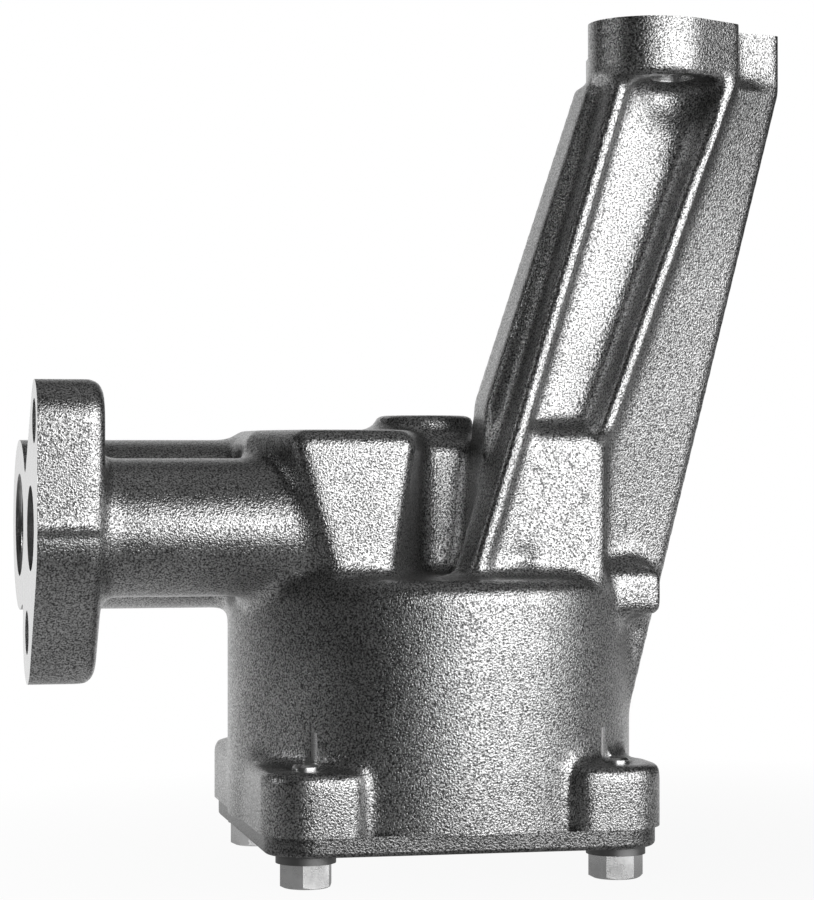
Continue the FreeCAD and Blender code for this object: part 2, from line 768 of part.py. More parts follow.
def pump_housing():
    """The casting: every mass is joined to the ones before it, then the hollows are cut."""
    masses = [body_cup()]
    masses += [ear(f"Ear{n}", x, y) for n, (x, y) in enumerate(CORNERS, start=1)]
    masses += [
        base_side(),
        leg_body(),
        rib("FirstRib", "first", "body_height - body_edge"),
        rib("SecondRib", "second", "outlet_top - chamber_edge / 2"),
        slanted_rod("PassageWall", "passage_dia / 2 + port_wall"),
        outlet_chamber(),
        inlet_chamber(),
        middle_block(),
        shaft_boss(),
        inlet_flange(),
        inlet_neck(),
        relief_housing(),
        side_lug(),
    ]
    masses += mounting_pad()
    casting = masses[0]
    for number, mass in enumerate(masses[1:], start=1):
        casting = together(f"HousingSolid{number}", [casting, mass])
    return without("pump_housing", casting, together("HousingHollow", housing_cores()))


# Cover and fasteners


def body_of(name):
    return doc.addObject("PartDesign::Body", name)


def plane_of(body, role):
    return [item for item in body.Origin.OriginFeatures if item.Role == role][0]


def round_sketch(body, name, circles, role="XY_Plane"):
    """A sketch of circles, each a centre and a radius given as formulas."""
    sketch = body.newObject("Sketcher::SketchObject", name)
    sketch.AttachmentSupport = [(plane_of(body, role), "")]
    sketch.MapMode = "FlatFace"
    for i, (x, y, radius) in enumerate(circles):
        spot = FreeCAD.Vector(worth(x), worth(y), 0)
        sketch.addGeometry(Part.Circle(spot, Z_AXIS, worth(radius)))
        rules = (
            (Sketcher.Constraint("DistanceX", -1, 1, i, 3, worth(x)), x),
            (Sketcher.Constraint("DistanceY", -1, 1, i, 3, worth(y)), y),
            (Sketcher.Constraint("Radius", i, worth(radius)), radius),
        )
        for rule, formula in rules:
            number = sketch.addConstraint(rule)
            sketch.setExpression(f"Constraints[{number}]", bound(formula))
    return sketch


def feature(body, kind, name, profile, **formulas):
    item = body.newObject("PartDesign::" + kind, name)
    item.Profile = profile
    for key, formula in formulas.items():
        item.setExpression(key, bound(formula))
    return item


def cover_plate():
    """A square plate with round corners, a softened lower edge and four bolt holes."""
    body = body_of("cover_plate")
    sketch = body.newObject("Sketcher::SketchObject", "CoverOutline")
    sketch.AttachmentSupport = [(plane_of(body, "XY_Plane"), "")]
    sketch.MapMode = "FlatFace"
    half = worth("cover_half")
    spots = [FreeCAD.Vector(x * half, y * half, 0) for x, y in CORNERS]
    for i in range(4):
        sketch.addGeometry(Part.LineSegment(spots[i], spots[(i + 1) % 4]))
    for i in range(4):
        sketch.addConstraint(Sketcher.Constraint("Coincident", i, 2, (i + 1) % 4, 1))
    for i, corner in enumerate(CORNERS):
        for kind, side in zip(("DistanceX", "DistanceY"), corner):
            number = sketch.addConstraint(Sketcher.Constraint(kind, -1, 1, i, 1, side * half))
            sketch.setExpression(f"Constraints[{number}]", bound(f"{side} * cover_half"))
    plate = feature(body, "Pad", "CoverPlate", sketch, Length="cover_thick")
    plate.Reversed = True
    doc.recompute()
    uprights = [f"Edge{n}" for n, e in enumerate(plate.Shape.Edges, start=1) if upright(e)]
    corners = body.newObject("PartDesign::Fillet", "CoverCorners")
    corners.Base = (plate, uprights)
    corners.setExpression("Radius", bound("cover_corner"))
    doc.recompute()
    low = at_height("-cover_thick")
    names = [f"Edge{n}" for n, e in enumerate(corners.Shape.Edges, start=1) if low(e)]
    lower = body.newObject("PartDesign::Fillet", "CoverEdge")
    lower.Base = (corners, names)
    lower.setExpression("Radius", bound("cover_edge"))
    holes = round_sketch(
        body, "CoverHoles",
        [(f"{x} * bolt_half", f"{y} * bolt_half", "bolt_dia / 2 + bolt_slack") for x, y in CORNERS],
    )
    cut = feature(body, "Pocket", "CoverHolesCut", holes, Length="cover_thick")
    cut.Reversed = False
    doc.recompute()
    return body


def hexagon(name, flats, depth, z):
    """A hexagonal prism, one corner on the x axis."""
    prism = solid("Part::Prism", name, z=z, Circumradius=f"({flats}) / sqrt(3)", Height=depth)
    prism.Polygon = 6
    return prism


def cover_bolt(number, side_x, side_y, spin):
    """A hexagon head bolt; its head is cut back to a cone at the corners."""
    name = f"cover_bolt_{number}"
    seat = "-cover_thick - washer_thick"
    head = hexagon(name + "_hex", "head_flats", "head_height", f"{seat} - head_height")
    cone = doc.addObject("Part::Cone", name + "_cone")
    for key, formula in (
        ("Radius1", "head_crown"),
        ("Radius2", "head_crown + head_height * 2"),
        ("Height", "head_height"),
        ("Placement.Base.z", f"{seat} - head_height"),
    ):
        cone.setExpression(key, bound(formula))
    crowned = doc.addObject("Part::MultiCommon", name + "_head")
    crowned.Shapes = [head, cone]
    shank = rod(name + "_shank", z=seat, radius="bolt_dia / 2", length="bolt_grip")
    doc.recompute()
    tip = at_height(f"{seat} + bolt_grip")
    point = doc.addObject("Part::Chamfer", name + "_point")
    point.Base = shank
    point.Edges = [
        (n, worth("bolt_dia / 12"), worth("bolt_dia / 12"))
        for n, e in enumerate(shank.Shape.Edges, start=1) if tip(e)
    ]
    bolt = together(name, [crowned, point])
    place = FreeCAD.Rotation(Z_AXIS, spin)
    return bolt, place, (f"{side_x} * bolt_half", f"{side_y} * bolt_half", "0")


def lock_washer(number, side_x, side_y, spin):
    """A flat ring with one narrow split."""
    name = f"lock_washer_{number}"
    low = "-cover_thick - washer_thick"
    ring = rod(name + "_ring", z=low, radius="washer_dia / 2", length="washer_thick")
    hole = rod(
        name + "_hole", z=f"{low} - 1", radius="bolt_dia / 2 + bolt_slack",
        length="washer_thick + 2",
    )
    split = block(
        name + "_split", ("0", "washer_dia"), ("-washer_gap / 2", "washer_gap / 2"),
        (f"{low} - 1", f"{low} + washer_thick + 1"),
    )
    washer = without(name, ring, together(name + "_cut", [hole, split]))
    place = FreeCAD.Rotation(Z_AXIS, spin)
    return washer, place, (f"{side_x} * bolt_half", f"{side_y} * bolt_half", "0")


# Rotors and shaft


def lobe_curve(gap):
    """One closed smooth curve: the inner rotor's profile from the rolling of the lobes."""
    big, small, shift = worth("lobe_circle"), worth("lobe_radius") + gap, worth("rotor_offset")
    points = []
    for step in range(LOBES * STEPS_PER_LOBE):
        turn = 2 * math.pi * step / (LOBES * STEPS_PER_LOBE)
        lean = math.atan2(
            math.sin(LOBES * turn), math.cos(LOBES * turn) - big / (shift * (LOBES + 1))
        ) - math.pi
        x = big * math.cos(turn) - small * math.cos(turn + lean)
        y = -big * math.sin(turn) + small * math.sin(turn + lean)
        x -= shift * math.cos((LOBES + 1) * turn)
        y += shift * math.sin((LOBES + 1) * turn)
        points.append(FreeCAD.Vector(x, y, 0))
    curve = Part.BSplineCurve()
    curve.interpolate(Points=points, PeriodicFlag=True)
    return curve


def inner_rotor():
    """Four rounded lobes round the shaft, with a cross hole for the pin at mid height."""
    face = Part.Face(Part.Wire([lobe_curve(worth("tip_gap")).toShape()]))
    lobes = doc.addObject("Part::Feature", "InnerLobes")
    lobes.Shape = face.extrude(FreeCAD.Vector(0, 0, worth("rotor_height")))
    bore = rod(
        "InnerBore", z="-1", radius="shaft_dia / 2", length="rotor_height + 2"
    )
    hole = rod(
        "InnerPinHole", "-pin_length / 2 - 0.1", "0", "rotor_height / 2", "pin_dia / 2",
        "pin_length + 0.2", X_AXIS,
    )
    rotor = without("inner_rotor", lobes, together("InnerHollow", [bore, hole]))
    return rotor, FreeCAD.Rotation(Z_AXIS, 90), ("0", "rotor_offset", "end_gap")


def outer_rotor():
    """A ring whose inside is a circle with five round lobes standing in."""
    ring = rod("OuterRing", radius="rotor_dia / 2", length="rotor_height")
    inside = rod(
        "OuterInside", z="-1", length="rotor_height + 2",
        radius="lobe_circle - lobe_radius + 2 * rotor_offset + tip_gap",
    )
    lobes = []
    for number in range(LOBES + 1):
        angle = 360.0 / (LOBES + 1) * number
        lobe = rod(
            f"OuterLobe{number}", f"lobe_circle * cos({angle})", f"lobe_circle * sin({angle})",
            "-2", "lobe_radius", "rotor_height + 4",
        )
        lobes.append(lobe)
    pocket = without("OuterPocket", inside, together("OuterLobes", lobes))
    soft = rounded("OuterPocketSoft", pocket, ("lobe_fillet", upright))
    rotor = without("outer_rotor", ring, soft)
    return rotor, FreeCAD.Rotation(Z_AXIS, 90), ("0", "0", "end_gap")


def rotor_shaft():
    """A plain round shaft with a hexagon socket in its upper end."""
    length = "boss_top - shaft_recess - shaft_foot"
    stem = rod("ShaftStem", radius="shaft_dia / 2", length=length)
    doc.recompute()
    ends = doc.addObject("Part::Chamfer", "ShaftEnds")
    ends.Base = stem
    ends.Edges = [
        (n, worth("shaft_dia / 20"), worth("shaft_dia / 20"))
        for n, e in enumerate(stem.Shape.Edges, start=1) if not upright(e)
    ]
    socket = hexagon("ShaftSocket", "socket_flats", "socket_depth + 1", f"{length} - socket_depth")
    hole = rod(
        "ShaftPinHole", "-shaft_dia", "0", "end_gap + rotor_height / 2 - shaft_foot",
        "pin_dia / 2", "2 * shaft_dia", X_AXIS,
    )
    shaft = without("rotor_shaft", ends, together("ShaftHollow", [socket, hole]))
    return shaft, FreeCAD.Rotation(Z_AXIS, 90), ("0", "rotor_offset", "shaft_foot")


def rotor_pin():
    """A straight pin across the shaft and the inner rotor."""
    stem = rod("PinStem", "-pin_length / 2", "0", "0", "pin_dia / 2", "pin_length", X_AXIS)
    doc.recompute()
    pin = doc.addObject("Part::Chamfer", "rotor_pin")
    pin.Base = stem
    pin.Edges = [
        (n, worth("pin_dia / 10"), worth("pin_dia / 10"))
        for n, e in enumerate(stem.Shape.Edges, start=1) if e.BoundBox.XLength < 0.01
    ]
    place = ("0", "rotor_offset", "end_gap + rotor_height / 2")
    return pin, FreeCAD.Rotation(Z_AXIS, 90), place


# Relief valve


def relief_plunger():
    """A hollow piston: its closed end shuts the pressure passage."""
    shell = rod(
        "PlungerShell", radius="plunger_dia / 2 - running_gap", length="plunger_length",
        along=X_AXIS,
    )
    hollow = rod(
        "PlungerHollow", "-1", radius="plunger_dia / 2 - plunger_wall",
        length="plunger_length - plunger_wall + 1", along=X_AXIS,
    )
    doc.recompute()
    eased = doc.addObject("Part::Chamfer", "PlungerEased")
    eased.Base = shell
    eased.Edges = [
        (n, worth("plunger_wall / 3"), worth("plunger_wall / 3"))
        for n, e in enumerate(shell.Shape.Edges, start=1) if e.BoundBox.XLength < 0.01
    ]
    plunger = without("relief_plunger", eased, hollow)
    rear = "plunger_seat - seat_gap - plunger_length"
    return plunger, FreeCAD.Rotation(), (rear, "relief_y", "neck_z")


def relief_plug():
    """A headless screw plug with a square socket in its outer face."""
    stem = rod(
        "PlugStem", radius="plug_bore / 2 - running_gap", length="plug_length", along=X_AXIS
    )
    doc.recompute()
    eased = doc.addObject("Part::Chamfer", "PlugEased")
    eased.Base = stem
    eased.Edges = [
        (n, worth("plug_length / 12"), worth("plug_length / 12"))
        for n, e in enumerate(stem.Shape.Edges, start=1) if e.BoundBox.XLength < 0.01
    ]
    socket = block(
        "PlugSocket", ("-1", "plug_socket_depth"), ("-plug_socket / 2", "plug_socket / 2"),
        ("-plug_socket / 2", "plug_socket / 2"),
    )
    plug = without("relief_plug", eased, socket)
    return plug, FreeCAD.Rotation(), ("flange_face + plug_recess", "relief_y", "neck_z")


def relief_spring():
    """A coil from the plug to the inside of the plunger's closed end."""
    room = "plunger_seat - seat_gap - plunger_wall - flange_face - plug_recess - plug_length"
    length = worth(f"{room} - spring_wire - 2 * spring_seat_gap")
    middle_radius = worth("spring_dia / 2 - spring_wire / 2")
    pitch = length / worth("spring_turns")
    coil = Part.makeHelix(pitch, length, middle_radius)
    start = FreeCAD.Vector(middle_radius, 0, 0)
    circle = Part.Circle(start, Y_AXIS, worth("spring_wire / 2"))
    section = Part.Wire([circle.toShape()])
    spring = doc.addObject("Part::Feature", "relief_spring")
    spring.Shape = Part.Wire(coil.Edges).makePipeShell([section], True, True)
    seat = "flange_face + plug_recess + plug_length + spring_wire / 2 + spring_seat_gap"
    return spring, FreeCAD.Rotation(Z_AXIS, X_AXIS), (seat, "relief_y", "neck_z")


def placed(item, turn, place):
    """Turn and place a sub-part, with the part's origin on the mounting face."""
    item.Placement = FreeCAD.Placement(FreeCAD.Vector(), turn)
    origin = ("port_x", "port_y", "mount_height")
    for axis, formula, start in zip("xyz", place, origin):
        item.setExpression(f"Placement.Base.{axis}", bound(f"({formula}) - ({start})"))
    return item


def build():
    still = FreeCAD.Rotation()
    here = ("0", "0", "0")
    nodes = [
        placed(pump_housing(), still, here),
        placed(cover_plate(), still, here),
    ]
    for number, ((x, y), spin) in enumerate(zip(CORNERS, BOLT_SPINS), start=1):
        nodes.append(placed(*cover_bolt(number, x, y, spin)))
        nodes.append(placed(*lock_washer(number, x, y, WASHER_SPIN_SHARE * spin)))
    makers = (
        outer_rotor, inner_rotor, rotor_shaft, rotor_pin,
        relief_plunger, relief_spring, relief_plug,
    )
    nodes += [placed(*make()) for make in makers]
    for node in nodes:
        node.Label = node.Name
    doc.recompute()
    return nodes


def check(nodes):
    """Stop if any object failed or any sub-part has no sound solid."""
    for item in doc.Objects:
        if "Invalid" in item.State or "Error" in item.State:
            raise RuntimeError(f"{item.Name} failed: {item.State}")
    for node in nodes:
        shape = node.Shape
        if shape.isNull() or not shape.isValid() or not shape.Solids:
            raise RuntimeError(f"{node.Name} has no sound solid")
        print(f"{node.Label}: {len(shape.Solids)} solid, {shape.Volume:.1f} mm3")


def main():
    nodes = build()
    check(nodes)
    os.makedirs("parts", exist_ok=True)
    for node in nodes:
        node.Shape.exportStep(f"parts/{node.Label}.step")


main()
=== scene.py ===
import math

import bmesh
import bpy
import numpy
from mathutils import Matrix, Vector


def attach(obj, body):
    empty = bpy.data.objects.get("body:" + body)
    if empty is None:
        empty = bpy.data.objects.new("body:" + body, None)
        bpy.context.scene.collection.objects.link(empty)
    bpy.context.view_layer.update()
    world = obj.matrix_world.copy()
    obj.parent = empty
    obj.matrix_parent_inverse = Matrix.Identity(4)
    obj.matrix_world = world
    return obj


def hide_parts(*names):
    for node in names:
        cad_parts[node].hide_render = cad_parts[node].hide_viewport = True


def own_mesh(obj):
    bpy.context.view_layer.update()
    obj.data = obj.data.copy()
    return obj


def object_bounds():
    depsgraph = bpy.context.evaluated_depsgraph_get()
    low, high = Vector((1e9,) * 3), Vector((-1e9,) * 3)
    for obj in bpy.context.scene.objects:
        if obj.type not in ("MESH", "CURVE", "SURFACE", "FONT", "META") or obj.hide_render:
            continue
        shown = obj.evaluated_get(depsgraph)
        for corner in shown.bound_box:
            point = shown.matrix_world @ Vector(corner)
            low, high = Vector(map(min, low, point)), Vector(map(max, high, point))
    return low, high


# An engine oil pump on white. Metres; +Z up out of the mounting face, the origin at the centre
# of the outlet port, the inlet port towards -X and the ribs of the leg towards -Y. The part's own
# sizes are in mm and scaled by MM.

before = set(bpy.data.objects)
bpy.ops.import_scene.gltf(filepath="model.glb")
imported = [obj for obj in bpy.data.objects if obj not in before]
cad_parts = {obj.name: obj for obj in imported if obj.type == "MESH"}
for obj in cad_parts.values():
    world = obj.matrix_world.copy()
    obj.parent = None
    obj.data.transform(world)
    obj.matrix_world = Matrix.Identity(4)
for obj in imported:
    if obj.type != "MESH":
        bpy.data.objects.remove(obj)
cad_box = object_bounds()

MM = 0.001
SHIFT = Vector((-56.0, 2.0, -187.0))  # from the rotor cavity's frame to the part's
JOINT_FACE = -187.0  # the machined faces, in the part's frame
FLANGE_FACE = -153.0
MOUNT_FACE = 0.0


def at(x, y, z):
    """A point of the rotor cavity's frame, in mm, as metres in the part's frame."""
    return (Vector((x, y, z)) + SHIFT) * MM


# Materials

CLOUD_MM = 14.0  # wide stains on the castings
GRIT_SHARE = 0.45  # the grit's size, as a share of the grains'
LINES_MM = 2.2  # machining lines, before they are stretched
WEAR_MM = 5.0


def new_material(name):
    material = bpy.data.materials.new(name)
    material.use_nodes = True
    nodes = material.node_tree.nodes
    return material, nodes, material.node_tree.links, nodes["Principled BSDF"]


def noise(nodes, links, where, scale_mm, detail, rough):
    """Noise whose grains are about scale_mm wide."""
    node = nodes.new("ShaderNodeTexNoise")
    node.inputs["Scale"].default_value = 1.0 / (scale_mm * MM)
    node.inputs["Detail"].default_value = detail
    node.inputs["Roughness"].default_value = rough
    links.new(where, node.inputs["Vector"])
    return node.outputs["Fac"]


def ramp(nodes, links, value, *stops):
    """A grey for each value, from stops of a value and its grey."""
    node = nodes.new("ShaderNodeValToRGB")
    band = node.color_ramp
    while len(band.elements) < len(stops):
        band.elements.new(0.5)
    for element, (place, level) in zip(band.elements, stops):
        element.position = place
        element.color = (level, level, level, 1)
    links.new(value, node.inputs["Fac"])
    return node.outputs["Color"]


def bump(nodes, links, height, strength, distance_mm, below=None):
    """Relief on top of the relief below, if any."""
    node = nodes.new("ShaderNodeBump")
    node.inputs["Strength"].default_value = strength
    node.inputs["Distance"].default_value = distance_mm * MM
    links.new(height, node.inputs["Height"])
    if below is not None:
        links.new(below, node.inputs["Normal"])
    return node.outputs["Normal"]


def cast_iron(name, tones, grain_mm, height_mm):
    """Pebbled cast surface: grains with painted shade in their seams and painted highlights on
    their crowns, plain faces, and grit.
    """
    material, nodes, links, shader = new_material(name)
    where = nodes.new("ShaderNodeTexCoord").outputs["Object"]
    grains = noise(nodes, links, where, grain_mm, detail=1.2, rough=0.5)
    grit = noise(nodes, links, where, grain_mm * GRIT_SHARE, detail=2.0, rough=0.6)
    cloud = noise(nodes, links, where, CLOUD_MM, detail=3.0, rough=0.5)
    painted_seam_shade, face, painted_crown_highlight = tones
    # The grain ramp paints shade into the seams and highlights onto the crowns, on the same noise
    # whose height the bump below raises.
    tone = ramp(nodes, links, grains, (0.35, painted_seam_shade), (0.46, face), (0.64, painted_crown_highlight))
    stain = ramp(nodes, links, cloud, (0.3, 0.82), (0.7, 1.0))
    mix = nodes.new("ShaderNodeMix")
    mix.data_type = "RGBA"
    mix.blend_type = "MULTIPLY"
    mix.inputs["Factor"].default_value = 1.0
    links.new(tone, mix.inputs["A"])
    links.new(stain, mix.inputs["B"])
    links.new(mix.outputs["Result"], shader.inputs["Base Color"])
    links.new(ramp(nodes, links, grit, (0.3, 0.26), (0.7, 0.36)), shader.inputs["Roughness"])
    shader.inputs["Metallic"].default_value = 0.95
    low = bump(nodes, links, grains, 1.0, height_mm)
    links.new(bump(nodes, links, grit, 0.5, height_mm * 0.3, low), shader.inputs["Normal"])
    return material


def turned_metal(name, tone, roughness, metallic=1.0, scratch=0.02, stretch=(1, 1, 18)):
    """Machined or drawn metal: fine lines one way, with slight wear in tone and gloss."""
    material, nodes, links, shader = new_material(name)
    where = nodes.new("ShaderNodeTexCoord").outputs["Object"]
    mapping = nodes.new("ShaderNodeMapping")
    mapping.inputs["Scale"].default_value = stretch
    links.new(where, mapping.inputs["Vector"])
    lines = noise(nodes, links, mapping.outputs["Vector"], LINES_MM, detail=3.0, rough=0.6)
    wear = noise(nodes, links, where, WEAR_MM, detail=4.0, rough=0.6)
    links.new(
        ramp(nodes, links, wear, (0.3, tone * 0.74), (0.7, tone)), shader.inputs["Base Color"]
    )
    links.new(
        ramp(nodes, links, wear, (0.3, roughness), (0.7, roughness * 1.35)),
        shader.inputs["Roughness"],
    )
    shader.inputs["Metallic"].default_value = metallic
    links.new(bump(nodes, links, lines, 0.35, scratch), shader.inputs["Normal"])
    return material


# In each cast iron the first tone is painted shade in the grains' seams and the last is painted
# highlight on their crowns.
IRON = cast_iron("cast_iron", (0.10, 0.31, 0.68), 0.42, 0.14)
PLATE = cast_iron("cover_plate_iron", (0.05, 0.16, 0.32), 0.42, 0.14)
MACHINED = turned_metal("machined_iron", 0.84, 0.22, metallic=0.95, scratch=0.06)
ZINC = turned_metal("zinc_plating", 0.82, 0.24)
DARK_STEEL = turned_metal("dark_spring_steel", 0.22, 0.38)
SINTERED = turned_metal("sintered_steel", 0.42, 0.36, scratch=0.03, stretch=(1, 1, 1))
STEEL = turned_metal("ground_steel", 0.58, 0.24)
WIRE = turned_metal("spring_wire", 0.34, 0.32)


# Meshes

ROD_SIDES = 96


def mesh_object(name, mesh):
    piece = bpy.data.objects.new(name, mesh)
    bpy.context.scene.collection.objects.link(piece)
    return piece


def finished_mesh(name, bm):
    mesh = bpy.data.meshes.new(name)
    bm.to_mesh(mesh)
    bm.free()
    return mesh


def circle(sides):
    """Angles once round."""
    return [2 * math.pi * side / sides for side in range(sides)]


def add_tube(bm, rings):
    """Join rings of as many vertices each into a closed tube."""
    sides = len(rings[0])
    for low, high in zip(rings, rings[1:]):
        for i in range(sides):
            j = (i + 1) % sides
            bm.faces.new((low[i], low[j], high[j], high[i]))
    bm.faces.new(rings[0][::-1])
    bm.faces.new(rings[-1])


def rod_mesh(start, end, radius_mm):
    """A closed cylinder between two points of the part's frame, given in metres."""
    bm = bmesh.new()
    axis = end - start
    bmesh.ops.create_cone(
        bm, cap_ends=True, segments=ROD_SIDES, radius1=radius_mm * MM, radius2=radius_mm * MM,
        depth=axis.length,
    )
    turn = axis.to_track_quat("Z", "Y").to_matrix().to_4x4()
    bmesh.ops.transform(bm, matrix=Matrix.Translation((start + end) / 2) @ turn, verts=bm.verts)
    return finished_mesh("rod", bm)


def grooved_rod_mesh(start, end, radius_mm, depth_mm, pitch_mm):
    """A closed rod with ridges all round, to cut a bore that looks threaded."""
    axis = end - start
    steps = int(axis.length / (pitch_mm * MM)) * 2
    turn = axis.to_track_quat("Z", "Y").to_matrix()
    bm = bmesh.new()
    rings = []
    for step in range(steps + 1):
        reach = (radius_mm + (depth_mm if step % 2 else 0)) * MM
        along = start + axis * (step / steps)
        rings.append([
            bm.verts.new(along + turn @ Vector((reach * math.cos(a), reach * math.sin(a), 0)))
            for a in circle(ROD_SIDES)
        ])
    add_tube(bm, rings)
    return finished_mesh("grooved_rod", bm)


def box_mesh(low, high):
    """A box between two corners, in metres."""
    bm = bmesh.new()
    bmesh.ops.create_cube(bm, size=1.0)
    low, high = Vector(low), Vector(high)
    scale = Matrix.Diagonal((*(high - low), 1.0))
    bmesh.ops.transform(bm, matrix=Matrix.Translation((low + high) / 2) @ scale, verts=bm.verts)
    return finished_mesh("box", bm)


def join_meshes(name, meshes):
    bm = bmesh.new()
    for mesh in meshes:
        bm.from_mesh(mesh)
    return finished_mesh(name, bm)


def apply_modifiers(piece):
    graph = bpy.context.evaluated_depsgraph_get()
    mesh = bpy.data.meshes.new_from_object(piece.evaluated_get(graph))
    piece.modifiers.clear()
    piece.data = mesh


def smooth(piece, rounds):
    soft = piece.modifiers.new("soft", "SMOOTH")
    soft.factor = 0.5
    soft.iterations = rounds
    apply_modifiers(piece)


def cut_away(piece, mesh):
    cutter = mesh_object("cutter", mesh)
    cut = piece.modifiers.new("cut", "BOOLEAN")
    cut.operation = "DIFFERENCE"
    cut.solver = "MANIFOLD"
    cut.object = cutter
    apply_modifiers(piece)
    bpy.data.objects.remove(cutter)


def read_rows(source, field):
    """One row of three numbers for each vertex or face."""
    rows = numpy.empty(len(source) * 3)
    source.foreach_get(field, rows)
    return rows.reshape(-1, 3)


def move_vertices(mesh, places):
    mesh.vertices.foreach_set("co", places.ravel())
    mesh.update()


def edge_ends(mesh):
    """The numbers of the vertices at one end of each edge, and at the other."""
    ends = numpy.empty(len(mesh.edges) * 2, dtype=numpy.int64)
    mesh.edges.foreach_get("vertices", ends)
    return ends.reshape(-1, 2).T


def neighbour_means(places, here, there):
    """The mean place of each vertex's neighbours over the given edges."""
    count = len(places)
    degree = numpy.bincount(numpy.concatenate((here, there)), minlength=count)[:, None]
    total = numpy.stack([
        numpy.bincount(here, places[there, k], count)
        + numpy.bincount(there, places[here, k], count)
        for k in range(3)
    ], axis=1)
    return total / numpy.maximum(degree, 1)


# Casting

PUSH = 2.6  # machined faces start this far out and are then cut back
PLUG_EXTRA = 0.6  # bores are closed by plugs of this much more radius, and cut open at the end
VOXEL = 1.05
FIRST_SMOOTHING = 4
FILLET_ROUNDS = 22
FILLET_SHARE = 0.5  # how far a hollow vertex moves to its neighbours' mean each round
NORMALS_EVERY = 8
LAST_SMOOTHING = 2
SHARP_DEGREES = 48

SOFT_SPOT = (51, -31, 163)  # the recess for the mounting bolt's head, under the front lobe
SOFT_SPOT_RADIUS = 12.0
SOFT_SPOT_ROUNDS = 60
SOFT_SPOT_EDGE = 1.2  # edges count up to this many radii away

FLASH_HEIGHT = 0.9
FLASH_HALF = 0.7
FLANGE_RIM = -82.5  # the parting line is raised beyond this X, and in front of this Y
FLANGE_FRONT = -20.0
DENT = (15.1, -34.5, 62.1)  # a shallow dent low on the outlet chamber's front
DENT_DEPTH = 0.7
DENT_HALF = 2.4

INLET = (-15.5, 69)  # axes along X, by their Y and Z
RELIEF = (18, 69)
FLANGE_HOLES = ((-25.952, 93.624), (-5.048, 44.376))
OUTLET = (56, -2)  # axes along Z, by their X and Y
MOUNT_HOLES = ((61, 30.5), (51, -34.5))
SHAFT = (0, 5)
RELIEF_RADIUS = 12.3
PLUNGER_SEAT = -34.0
GROOVE_DEPTH = 0.7
GROOVE_PITCH = 1.5
BORES = [  # start and end in the rotor cavity's frame, the radius, and where its plug ends
    ((0, 0, -6), (0, 0, 32.1), 38.56, (0, 0, 32.1)),
    ((-103, *INLET), (-30, *INLET), 9.85, (-40, *INLET)),
    ((-103, *RELIEF), (-76, *RELIEF), RELIEF_RADIUS, (-77, *RELIEF)),
    ((-77, *RELIEF), (PLUNGER_SEAT, *RELIEF), 10.0, (-34.6, *RELIEF)),
    ((-47, *INLET), (-47, *RELIEF), 5.0, None),
] + [
    ((-103, *hole), (-78, *hole), 5.15, (FLANGE_RIM, *hole)) for hole in FLANGE_HOLES
] + [
    ((*OUTLET, 193), (*OUTLET, 175), 8.0, (*OUTLET, 176)),
] + [
    ((*hole, 193), (*hole, 168), 5.15, (*hole, 174.5)) for hole in MOUNT_HOLES
] + [
    ((*SHAFT, 31), (*SHAFT, 101), 6.41, (*SHAFT, 94.6)),
] + [
    ((x, y, -6), (x, y, 22.5), 3.325, (x, y, 13.6))
    for x in (-36.5, 36.5) for y in (-36.5, 36.5)
]
WALL_SLACK = 0.05  # how far a bore's faces may lie inside its radius
FACE_SLACK = 0.02  # and any machined face off its own place
FAR = 0.4  # half width and thickness of the slabs that trim the machined faces, in metres
THICK = 0.05


def fill_hollows(mesh):
    """Round out the inner corners as a casting's fillets, and leave the outer corners alone."""
    places = read_rows(mesh.vertices, "co")
    here, there = edge_ends(mesh)
    for number in range(FILLET_ROUNDS):
        if number % NORMALS_EVERY == 0:
            move_vertices(mesh, places)
            outward = read_rows(mesh.vertex_normals, "vector")
        pull = neighbour_means(places, here, there) - places
        hollow = (pull * outward).sum(axis=1) > 0
        places += pull * (FILLET_SHARE * hollow)[:, None]
    move_vertices(mesh, places)


def soften_spot(mesh):
    """Smooth one place, fading out to its edge."""
    places = read_rows(mesh.vertices, "co")
    offset = places - numpy.array(at(*SOFT_SPOT))
    away = numpy.linalg.norm(offset, axis=1) / (SOFT_SPOT_RADIUS * MM)
    weight = numpy.clip(1.5 * (1.0 - away), 0.0, 1.0)[:, None] * 0.5
    here, there = edge_ends(mesh)
    near = (away[here] < SOFT_SPOT_EDGE) & (away[there] < SOFT_SPOT_EDGE)
    here, there = here[near], there[near]
    for _ in range(SOFT_SPOT_ROUNDS):
        places += (neighbour_means(places, here, there) - places) * weight
    move_vertices(mesh, places)


def cast_marks(mesh):
    """The parting line on the flange's front, at the ports' height, and a shallow dent."""
    places = read_rows(mesh.vertices, "co")
    normals = read_rows(mesh.vertex_normals, "vector")
    local = places / MM - numpy.array(SHIFT)
    x, y, z = local.T
    on_edge = (x < FLANGE_RIM) & (y < FLANGE_FRONT) & (abs(normals[:, 0]) < 0.6)
    ragged = 0.75 + 0.25 * numpy.sin(x * 2.9) * numpy.sin(x * 1.3 + 1.0)
    line = numpy.exp(-((z - INLET[1]) / FLASH_HALF) ** 2) * on_edge * ragged
    away = numpy.linalg.norm(local - numpy.array(DENT), axis=1)
    dent = numpy.exp(-((away / DENT_HALF) ** 2))
    places += normals * ((FLASH_HEIGHT * line - DENT_DEPTH * dent) * MM)[:, None]
    move_vertices(mesh, places)


def pushed_out(source):
    """A copy of the CAD casting with its machined faces moved out, beyond what is cut back."""
    mesh = source.data.copy()
    close = 1e-5
    for vertex in mesh.vertices:
        place = vertex.co
        if abs(place.z - MOUNT_FACE * MM) < close:
            place.z += PUSH * MM
        if abs(place.z - JOINT_FACE * MM) < close:
            place.z -= PUSH * MM
        if abs(place.x - FLANGE_FACE * MM) < close:
            place.x -= PUSH * MM
    return mesh


